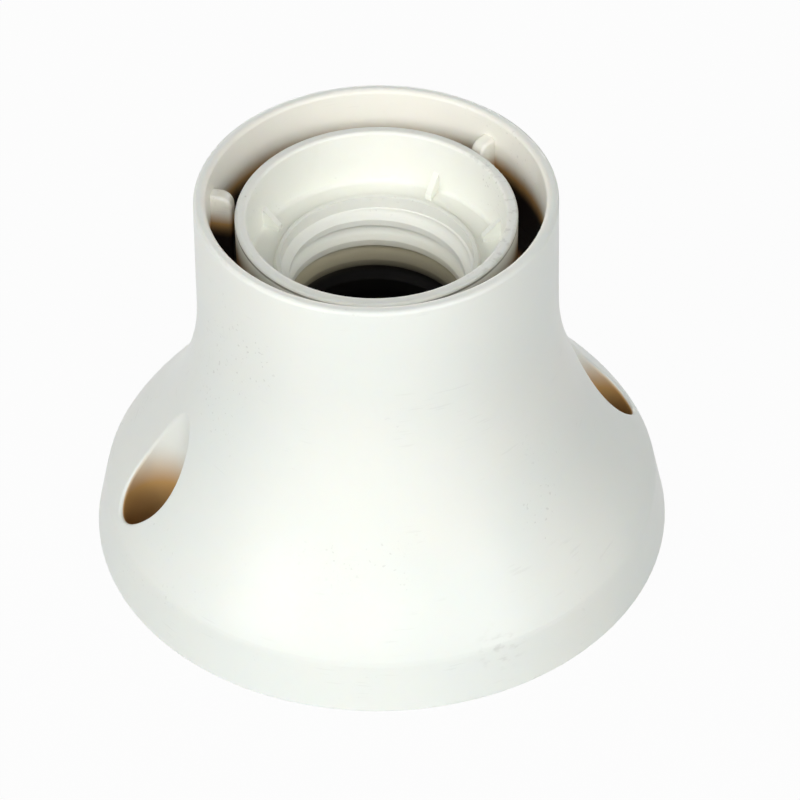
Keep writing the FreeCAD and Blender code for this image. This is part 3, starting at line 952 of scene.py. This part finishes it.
@dataclass
class ThreadedSleeve:
    """The moulding with the cup, the ribs, the lip and the lamp's screw thread."""

    rim_height: float = 55.5
    cup_floor: float = 46.7
    lip_radius: float = 14.1

    def build(self, frame: dict) -> None:
        """Dresses the sleeve.

        Args:
            frame: The loaded frame.
        """
        plastic = SleevePlastic(
            name="white_sleeve",
            fresh=paint(247, 250, 244),
            aged=paint(249, 250, 242),
            # Painted shade colours for the bore and the gap side, near black deep in the bore
            tan=paint(192, 184, 158),
            painted_shade_brown=paint(158, 124, 84),
            painted_shade_dark=paint(9, 7, 6),
            polish=0.32,
            speck_share=0.24,
            rim_height=self.rim_height,
            cup_floor=self.cup_floor,
            lip_radius=self.lip_radius,
        )
        dress(frame, plastic.make(), "thread_sleeve")


@dataclass
class CentreContact:
    """The springy strip under the lamp, with its stud and the dark block that carries it.

    The strip runs along X from its riveted end up a ramp to its free end. Heights are
    those of the strip's underside.
    """

    foot_end: float = -12.0
    foot_bend: float = -6.2
    ramp_top: float = -2.6
    free_end: float = 3.2
    foot_height: float = 20.0
    free_height: float = 22.6
    thickness: float = 0.4
    half_width: float = 3.25
    bend_radius: float = 0.8
    rivet_x: float = -8.6
    rivet_hole: float = 1.55
    stud_hole: float = 1.05
    corner: float = 0.5
    edge: float = 0.04
    bend_chords: int = 6
    ramp_chords: int = 5
    corner_chords: int = 5
    edge_chords: int = 2
    sharp_angle: float = 0.8
    smooth_angle: float = 0.6
    blend_lead: float = 0.4
    blend_end: float = -1.6

    def bend(self, corner: Pair, slope: float, upward: bool) -> list[Pair]:
        """Chords of one bend of the middle line.

        Args:
            corner: Where the straight runs on both sides of the bend would meet.
            slope: The ramp's slope in radians.
            upward: Whether the line turns up into the ramp or level again after it.

        Returns:
            The bend's points, from its low end to its high end.
        """
        sign = 1 if upward else -1
        start = 0.0 if upward else slope
        reach = self.bend_radius * math.tan(slope / 2)
        low = (corner[0] - reach * math.cos(start), corner[1] - reach * math.sin(start))
        points = []
        for step in range(self.bend_chords + 1):
            turned = start + sign * slope * step / self.bend_chords
            along = sign * self.bend_radius * (math.sin(turned) - math.sin(start))
            risen = sign * self.bend_radius * (math.cos(start) - math.cos(turned))
            points.append((low[0] + along, low[1] + risen))
        return points

    def middle_line(self) -> list[Pair]:
        """Line through the middle of the sheet, with its two bends as short chords.

        Returns:
            The line's points as places across and heights.
        """
        half = self.thickness / 2
        slope = math.atan2(self.free_height - self.foot_height, self.ramp_top - self.foot_bend)
        shift = half * math.tan(slope / 2)
        foot = (self.foot_bend - shift, self.foot_height + half)
        top = (self.ramp_top - shift, self.free_height + half)
        lower = self.bend(foot, slope, upward=True)
        upper = self.bend(top, slope, upward=False)
        (x, z), (end_x, end_z) = lower[-1], upper[0]
        across, risen = (end_x - x) / self.ramp_chords, (end_z - z) / self.ramp_chords
        ramp = [(x + across * step, z + risen * step) for step in range(1, self.ramp_chords)]
        return [(self.foot_end, foot[1]), *lower, *ramp, *upper, (self.free_end, top[1])]

    def sheet(self) -> bpy.types.Object:
        """Extrudes the strip's middle sheet along its line.

        Returns:
            The sheet, at the origin, without thickness.
        """
        line = self.middle_line()
        width = 2 * self.half_width
        middle = (self.foot_end + self.half_width) * MM
        Bench.clear()
        bpy.ops.mesh.primitive_plane_add(size=width * MM, location=(middle, 0, line[0][1] * MM))
        strip = bpy.context.active_object
        strip.name = "contact_spring_strip"
        bpy.ops.object.transform_apply(location=True, rotation=True, scale=True)
        Bench.pick_edges(strip, lambda a, b: min(a.x, b.x) > middle)
        bpy.ops.transform.translate(value=((line[1][0] - self.foot_end - width) * MM, 0, 0))
        for before, after in zip(line[1:], line[2:]):
            step = ((after[0] - before[0]) * MM, 0, (after[1] - before[1]) * MM)
            bpy.ops.mesh.extrude_edges_move(TRANSFORM_OT_translate={"value": step})
        bpy.ops.mesh.select_all(action="SELECT")
        bpy.ops.mesh.remove_doubles(threshold=MERGE * MM)
        bpy.ops.mesh.normals_make_consistent(inside=False)
        bpy.ops.object.mode_set(mode="OBJECT")
        if strip.data.polygons[0].normal.z < 0:
            bpy.ops.object.mode_set(mode="EDIT")
            bpy.ops.mesh.flip_normals()
            bpy.ops.object.mode_set(mode="OBJECT")
        return strip

    def strip(self) -> bpy.types.Object:
        """Gives the sheet its thickness, rounded corners, holes and softened edges.

        Returns:
            The finished strip.
        """
        strip = self.sheet()
        Bench.finish_with(strip, "SOLIDIFY", thickness=self.thickness * MM, offset=0.0)
        ends = (self.foot_end * MM, self.free_end * MM)

        def stands_at_end(a: Vector, b: Vector) -> bool:
            """Whether an edge stands upright at one of the strip's ends."""
            upright = max(abs(a.x - b.x), abs(a.y - b.y)) < TOUCH * MM
            return upright and min(abs(a.x - end) for end in ends) < TOUCH * MM

        Bench.pick_edges(strip, stands_at_end)
        bpy.ops.mesh.bevel(offset=self.corner * MM, segments=self.corner_chords)
        bpy.ops.object.mode_set(mode="OBJECT")
        Bench.drill(strip, self.rivet_hole, self.rivet_x, self.foot_height)
        Bench.drill(strip, self.stud_hole, 0.0, self.free_height)
        Bench.finish_with(
            strip,
            "BEVEL",
            width=self.edge * MM,
            segments=self.edge_chords,
            limit_method="ANGLE",
            angle_limit=self.sharp_angle,
        )
        Bench.hold(strip)
        bpy.ops.object.shade_smooth_by_angle(angle=self.smooth_angle)
        return strip

    def build(self, frame: dict) -> None:
        """Models and dresses the strip, and dresses the pieces around it.

        Args:
            frame: The loaded frame.
        """
        bronze = RolledMetal(
            name="spring_bronze",
            bright=paint(214, 160, 112),
            tarnish=paint(138, 92, 66),
            grain=Grain.ALONG_X,
        ).make()
        strip = self.strip()
        strip.data.materials.append(bronze)
        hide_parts("centre_contact_leaf")
        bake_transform(strip)
        log.info("%s: %d faces", strip.name, len(strip.data.polygons))
        stud = ScrewFinish(
            name="silvered_stud",
            axes=((0.0, 0.0),),
            bright=paint(206, 202, 192),
            tint=paint(190, 172, 138),
            threaded=False,
        )
        dress(frame, stud.make(), "centre_contact_stud")
        dress(frame, MouldingCompound().make(), "contact_block")


@dataclass
class SideContact:
    """The strip that stands at the chamber's wall."""

    patch: float = 4.0

    def build(self, frame: dict) -> None:
        """Dresses the strip.

        Args:
            frame: The loaded frame.
        """
        bronze = RolledMetal(
            name="side_bronze",
            bright=paint(210, 156, 108),
            tarnish=paint(134, 90, 64),
            grain=Grain.ALONG_X,
            patch=self.patch,
        )
        dress(frame, bronze.make(), "side_contact_leaf")


@dataclass
class Terminals:
    """Plates, clamp plates, screws and rivets under the block, on both sides."""

    screw_x: float = 14.2
    screw_y: float = 4.9
    rivet_x: float = 8.6

    def build(self, frame: dict) -> None:
        """Dresses the terminals of both contacts.

        Args:
            frame: The loaded frame.
        """
        brass = RolledMetal(
            name="stamped_brass",
            bright=paint(222, 186, 112),
            tarnish=paint(150, 116, 62),
            grain=Grain.ALONG_Y,
        ).make()
        dress(frame, brass, "centre_terminal_plate", "side_terminal_plate")
        across, along = (-self.screw_x, self.screw_x), (-self.screw_y, self.screw_y)
        clamp = ScrewFinish(
            name="plated_clamps",
            axes=tuple((x, y) for x in across for y in along),
            threaded=False,
        ).make()
        for name, side in (("centre", -1), ("side", 1)):
            for letter, y in (("a", self.screw_y), ("b", -self.screw_y)):
                screw = ScrewFinish(
                    name=f"{name}_screw_{letter}_plate", axes=((side * self.screw_x, y),)
                )
                dress(frame, screw.make(), f"{name}_terminal_screw_{letter}")
                dress(frame, clamp, f"{name}_clamp_plate_{letter}")
            rivet = ScrewFinish(
                name=f"{name}_rivet_brass",
                axes=((side * self.rivet_x, 0.0),),
                bright=paint(220, 184, 116),
                tint=paint(196, 154, 90),
                dull=paint(138, 106, 62),
                threaded=False,
            )
            dress(frame, rivet.make(), f"{name}_rivet")


@dataclass
class Fasteners:
    """Tapping screws that hold the sleeve to the shell and the block to the sleeve."""

    post_y: float = 23.0
    boss_radius: float = 16.2
    boss_bearing: float = math.radians(55.0)
    shell_seat: float = 20.0
    block_seat: float = 11.8
    shank_radius: float = 1.35
    pitch: float = 1.1

    def build(self, frame: dict) -> None:
        """Dresses both pairs of screws.

        Args:
            frame: The loaded frame.
        """
        x = self.boss_radius * math.cos(self.boss_bearing)
        y = self.boss_radius * math.sin(self.boss_bearing)
        pairs = (
            ("shell_screws", ((0.0, self.post_y), (0.0, -self.post_y)), self.shell_seat),
            ("block_screws", ((x, y), (-x, -y)), self.block_seat),
        )
        for name, axes, seat in pairs:
            screw = ScrewFinish(
                name=f"{name}_plate",
                axes=axes,
                shank_radius=self.shank_radius,
                seat=seat,
                pitch=self.pitch,
            )
            dress(frame, screw.make(), name)


@dataclass(frozen=True)
class GlowingPaper:
    """Pale paper that shows as white around the object's foot and is clear from below.

    Under the object's open base it doesn't glow, so no white shows through the object.
    """

    name: str = "pale_floor"
    pale: Colour = paint(168, 168, 167)
    paler: Colour = paint(180, 180, 178)
    polish: float = 0.85
    fibre_size: float = 1.2
    fibre_depth: float = 0.01
    glow: float = 0.965
    foot_radius: float = 41.3
    foot_edge: float = 0.5

    def seen_directly(self, graph: Graph) -> Value:
        """Share of the view that comes straight, mirrored or through glass.

        Args:
            graph: The material's graph.

        Returns:
            The share: 1 for such a ray and 0 for the light between surfaces.
        """
        path = graph.node("ShaderNodeLightPath").outputs
        names = ("Is Camera Ray", "Is Glossy Ray", "Is Transmission Ray")
        seen = [Value(graph, path[name]) for name in names]
        return (seen[0] + seen[1] + seen[2]).least(1.0)

    def make(self) -> bpy.types.Material:
        """Builds the material.

        Returns:
            The material.
        """
        graph = Graph(self.name)
        fibres = graph.cloud(self.fibre_size, 4.0)
        graph.surface(
            Base_Color=graph.mixed(fibres, self.pale, self.paler),
            Roughness=self.polish,
            Normal=graph.relief(fibres, self.fibre_depth),
        )
        lit = graph.node("ShaderNodeEmission", None, {"Color": WHITE, "Strength": 1.0})
        outside = graph.around().rise(self.foot_radius - self.foot_edge, self.foot_radius)
        glowing = self.seen_directly(graph) * outside * self.glow
        upper = graph.blended(glowing, graph.shader.outputs[0], lit.outputs[0])
        clear = graph.node("ShaderNodeBsdfTransparent").outputs[0]
        backs = Value(graph, graph.node("ShaderNodeNewGeometry").outputs["Backfacing"])
        graph.feed(graph.output.inputs["Surface"], graph.blended(backs, upper, clear))
        return graph.material


@dataclass(frozen=True)
class StudioSky:
    """Surroundings that are dim for the object's light and white to look at.

    Mirrored in the object they are white up to a little above the horizon, and a dim
    ceiling stands over that. A pair is a height, as the sine of the view's slope, and
    the brightness there.
    """

    name: str = "studio"
    ambient: float = 0.02
    horizon: Pair = (0.3, 1.0)
    ceiling: Pair = (0.6, 0.1)

    def make(self) -> bpy.types.World:
        """Builds the surroundings.

        Returns:
            The world.
        """
        world = bpy.data.worlds.new(self.name)
        world.use_nodes = True
        sky = Nodes(world.node_tree)
        view = sky.node("ShaderNodeTexCoord").outputs["Generated"]
        height = Value(sky, sky.node("ShaderNodeSeparateXYZ", None, {0: view}).outputs["Z"])
        path = sky.node("ShaderNodeLightPath").outputs
        mirrored = Value(sky, path["Is Glossy Ray"]) * height.ramp(self.horizon, self.ceiling)
        through = Value(sky, path["Is Transmission Ray"])
        white = mirrored.most(through).most(Value(sky, path["Is Camera Ray"]))
        dim, bright = (
            sky.node("ShaderNodeBackground", None, {"Color": WHITE, "Strength": strength})
            for strength in (self.ambient, 1.0)
        )
        shown = {"Surface": sky.blended(white, dim.outputs[0], bright.outputs[0])}
        sky.node("ShaderNodeOutputWorld", None, shown)
        return world


@dataclass(frozen=True)
class Lamp:
    """A soft oblong lamp, placed by its bearing from the camera's side of the object.

    Its angles are in degrees, its distance and its sides in metres and its power in watts.
    """

    name: str
    bearing: float
    elevation: float
    distance: float
    width: float
    tall: float
    power: float


@dataclass
class Studio:
    """Pale floor, soft lamps and the camera at the photograph's viewing angle.

    The camera stands on its own line of sight, which is turned about the object's axis.
    """

    camera_back: float = 413.055
    camera_height: float = 390.635
    pitch: float = 0.730
    yaw: float = 0.007
    roll: float = -0.014
    turn: float = math.radians(16.43)
    focus_pixels: float = 3877.267
    picture_pixels: float = 800.0
    sensor_width: float = 36.0
    nearest: float = 20.0
    lamp_target: float = 30.0
    floor_side: float = 6000.0
    floor_cuts: int = 3
    lamps: tuple[Lamp, ...] = (
        Lamp("left_lamp", -47.0, 29.0, 0.8, 0.4, 0.5, 3.35),
        Lamp("right_lamp", 43.0, 27.0, 0.8, 0.3, 0.45, 2.25),
        Lamp("front_lamp", 0.0, 37.0, 1.0, 0.6, 0.5, 3.5),
        Lamp("back_lamp", 180.0, 14.0, 1.0, 0.5, 0.4, 3.4),
        Lamp("rear_left_lamp", -140.0, 12.0, 1.0, 0.5, 0.4, 0.9),
        Lamp("rear_right_lamp", 140.0, 12.0, 1.0, 0.5, 0.4, 0.9),
        Lamp("under_lamp", 0.0, -88.0, 0.8, 0.5, 0.5, 3.0),
    )

    def aim(self) -> None:
        """Makes the camera and makes it the scene's own."""
        forward = Vector(
            (
                math.sin(self.yaw) * math.cos(self.pitch),
                math.cos(self.yaw) * math.cos(self.pitch),
                -math.sin(self.pitch),
            )
        )
        level = Vector((math.cos(self.yaw), -math.sin(self.yaw), 0.0))
        upright = level.cross(forward)
        right = math.cos(self.roll) * level + math.sin(self.roll) * upright
        up = math.cos(self.roll) * upright - math.sin(self.roll) * level
        place = Vector((0.0, -self.camera_back * MM, self.camera_height * MM))
        columns = Matrix((right, up, -forward)).transposed().to_4x4()
        lens = bpy.data.cameras.new("photo_camera")
        lens.sensor_width = self.sensor_width
        lens.lens = self.sensor_width * self.focus_pixels / self.picture_pixels
        lens.clip_start = self.nearest * MM
        camera = bpy.data.objects.new("photo_camera", lens)
        bpy.context.scene.collection.objects.link(camera)
        turned = Matrix.Rotation(-self.turn, 4, "Z")
        camera.matrix_world = turned @ Matrix.Translation(place) @ columns
        bpy.context.scene.camera = camera

    def hang(self, lamp: Lamp) -> None:
        """Hangs one lamp and points it at the middle of the object.

        Args:
            lamp: The lamp.
        """
        light = bpy.data.lights.new(lamp.name, "AREA")
        light.shape = "RECTANGLE"
        light.size, light.size_y = lamp.width, lamp.tall
        light.energy = lamp.power
        bearing = math.radians(lamp.bearing)
        elevation = math.radians(lamp.elevation)
        out = Vector(
            (
                math.sin(bearing) * math.cos(elevation),
                -math.cos(bearing) * math.cos(elevation),
                math.sin(elevation),
            )
        )
        out.rotate(Matrix.Rotation(-self.turn, 3, "Z"))
        hung = bpy.data.objects.new(lamp.name, light)
        bpy.context.scene.collection.objects.link(hung)
        hung.location = out * lamp.distance + Vector((0, 0, self.lamp_target * MM))
        hung.rotation_euler = (-out).to_track_quat("-Z", "Y").to_euler()
        log.info("%s: hung", lamp.name)

    def lay_floor(self) -> None:
        """Lays the floor, which lets the light of the lamp under it through."""
        Bench.clear()
        bpy.ops.mesh.primitive_plane_add(size=self.floor_side * MM, location=(0, 0, 0))
        floor = bpy.context.active_object
        floor.name = "floor"
        bpy.ops.object.mode_set(mode="EDIT")
        bpy.ops.mesh.subdivide(number_cuts=self.floor_cuts)
        bpy.ops.object.mode_set(mode="OBJECT")
        floor.data.materials.append(GlowingPaper().make())
        floor.visible_shadow = False
        log.info("%s: laid", floor.name)

    def build(self, frame: dict) -> None:
        """Sets up the floor, the surroundings, the lamps and the camera.

        Args:
            frame: The loaded frame, which the studio has no need of.
        """
        self.lay_floor()
        bpy.context.scene.world = StudioSky().make()
        for lamp in self.lamps:
            self.hang(lamp)
        self.aim()
        bpy.context.scene.view_settings.view_transform = "Standard"


def main() -> None:
    """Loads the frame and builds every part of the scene."""
    logging.basicConfig(level=logging.INFO, format="%(name)s: %(message)s")
    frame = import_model()
    parts = (
        BellShell(),
        ThreadedSleeve(),
        CentreContact(),
        SideContact(),
        Terminals(),
        Fasteners(),
        Studio(),
    )
    for part in parts:
        log.info("building %s", type(part).__name__)
        part.build(frame)


if __name__ == "__main__":
    main()
